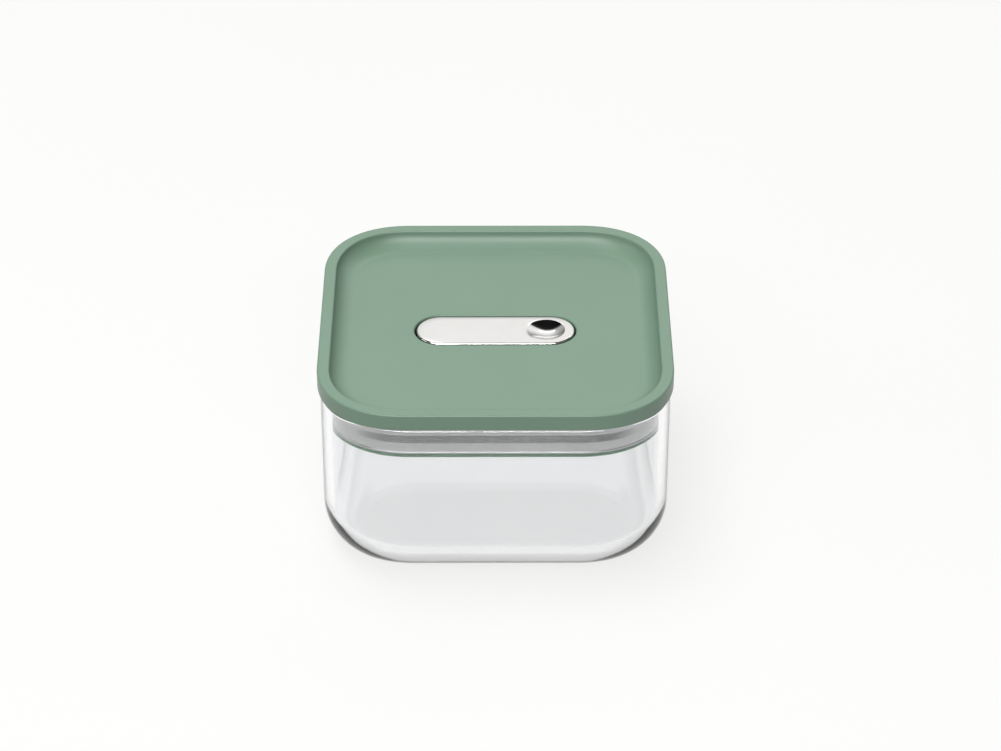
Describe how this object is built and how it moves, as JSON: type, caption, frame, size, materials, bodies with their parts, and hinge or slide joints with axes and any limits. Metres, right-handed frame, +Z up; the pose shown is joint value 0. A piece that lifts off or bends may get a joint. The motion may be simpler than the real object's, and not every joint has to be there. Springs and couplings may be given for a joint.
{
  "type": "glass storage container",
  "caption": "Square glass food container with a sage plastic lid, steel band, silicone gasket and a flush rocking steel lever that locks and frees the seal.",
  "frame": {"origin": "centre of the ring that the glass body stands on, at table height", "axes": "+Z up out of the lid; +X towards the lever's thumb dish; -Y towards a user who reads the lever with the dish on the right"},
  "size_m": [0.162, 0.162, 0.093],
  "materials": {
    "clear_glass": "clear pressed glass, fire-polished",
    "cover_plastic": "sage green, fine satin moulding",
    "band_steel": "satin rolled stainless steel",
    "lever_steel": "soft polished stainless steel",
    "seal_silicone": "sage green silicone",
    "carrier_plastic": "off-white polypropylene",
    "core_plastic": "dark grey glass-filled nylon",
    "bearing_plastic": "natural acetal",
    "works_steel": "turned stainless steel",
    "black_rubber": "black nitrile rubber"
  },
  "bodies": {
    "glass": {"glass_body": "clear_glass"},
    "lid": {"lid_cover": "cover_plastic", "rim_ring": "seal_silicone", "seal_carrier": "carrier_plastic", "steel_band": "band_steel", "gasket": "seal_silicone", "stem_bush": "bearing_plastic", "stem_seal": "black_rubber", "return_spring": "works_steel", "cam_plate": "works_steel", "stop_pads": "black_rubber"},
    "plate": {"pressure_plate": "carrier_plastic", "pull_stem": "works_steel", "stem_screw": "works_steel", "screw_plug": "seal_silicone"},
    "lever": {"lever_plate": "lever_steel", "lever_core": "core_plastic", "lever_pin": "works_steel", "friction_washers": "bearing_plastic", "pin_clips": "works_steel"}
  },
  "joints": [
    {"name": "lid_lift", "type": "slide", "parent": "glass", "child": "lid", "axis": [0, 0, 1], "range_m": [0, 0.12]},
    {"name": "plate_drop", "type": "slide", "parent": "lid", "child": "plate", "axis": [0, 0, -1], "range_m": [0, 0.0018], "deforming": ["gasket", "return_spring"]},
    {"name": "lever_rock", "type": "hinge", "parent": "plate", "child": "lever", "pos_m": [0, 0, 0.08], "axis": [0, 1, 0], "range_deg": [0, 15.01]}
  ],
  "couplings": [
    {"joint": "lever_rock", "follows": "plate_drop", "rad_per_m": 145.06}
  ]
}
